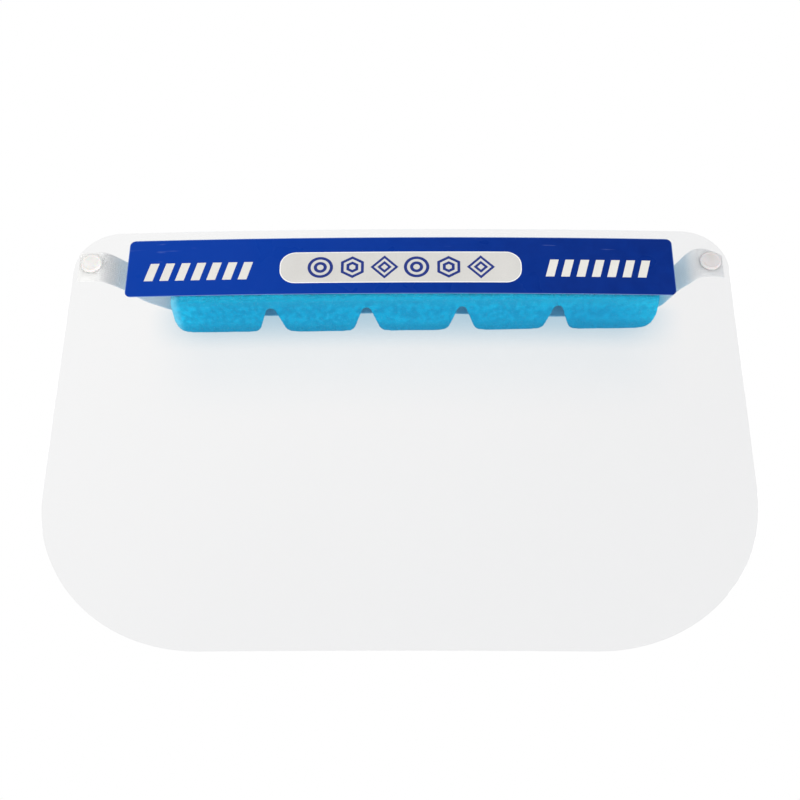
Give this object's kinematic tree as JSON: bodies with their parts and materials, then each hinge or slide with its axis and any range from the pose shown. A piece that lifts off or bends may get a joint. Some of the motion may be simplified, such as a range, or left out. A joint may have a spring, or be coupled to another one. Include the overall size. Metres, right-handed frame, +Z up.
{
  "type": "face shield",
  "caption": "Clear disposable face shield: a gently bent transparent sheet with a coloured header band, a notched foam brow pad and an elastic strap held by plastic snaps.",
  "frame": {"origin": "on the back of the foam brow pad, where it meets the forehead, midway between the two snaps and half-way up the pad", "axes": "as worn: +Z up, -Y forward out of the wearer's face, +Y towards the back of the head, +X to the right as seen from in front of the shield"},
  "size_m": [0.32, 0.0297, 0.22],
  "materials": {
    "clear_sheet": "gloss",
    "header_film": "gloss",
    "tape": "matte",
    "foam": "matte",
    "elastic": "matte",
    "snap_plastic": "satin"
  },
  "bodies": {
    "shield": {"visor": "clear_sheet", "header_band": "header_film", "foam_tape": "tape"},
    "brow_pad": {"foam_pad": "foam"},
    "strap": {"elastic_strap": "elastic"},
    "left_snap": {"left_snap_cap": "snap_plastic", "left_snap_socket": "snap_plastic"},
    "right_snap": {"right_snap_cap": "snap_plastic", "right_snap_socket": "snap_plastic"}
  },
  "joints": [
    {"name": "strap_stretch", "type": "slide", "parent": "shield", "child": "strap", "axis": [0, 1, 0], "range_m": [0, 0.19], "stiffness_N_per_m": 20, "deforming": ["elastic_strap"]},
    {"name": "foam_press", "type": "slide", "parent": "shield", "child": "brow_pad", "axis": [0, -1, 0], "range_m": [0, 0.008], "stiffness_N_per_m": 800, "deforming": ["foam_pad"]},
    {"name": "left_snap_turn", "type": "hinge", "parent": "shield", "child": "left_snap", "pos_m": [-0.1513, -0.02537, 0.0058], "axis": [-0.042, -0.9991, 0], "continuous": true},
    {"name": "right_snap_turn", "type": "hinge", "parent": "shield", "child": "right_snap", "pos_m": [0.1513, -0.02537, 0.0058], "axis": [0.042, -0.9991, 0], "continuous": true}
  ]
}
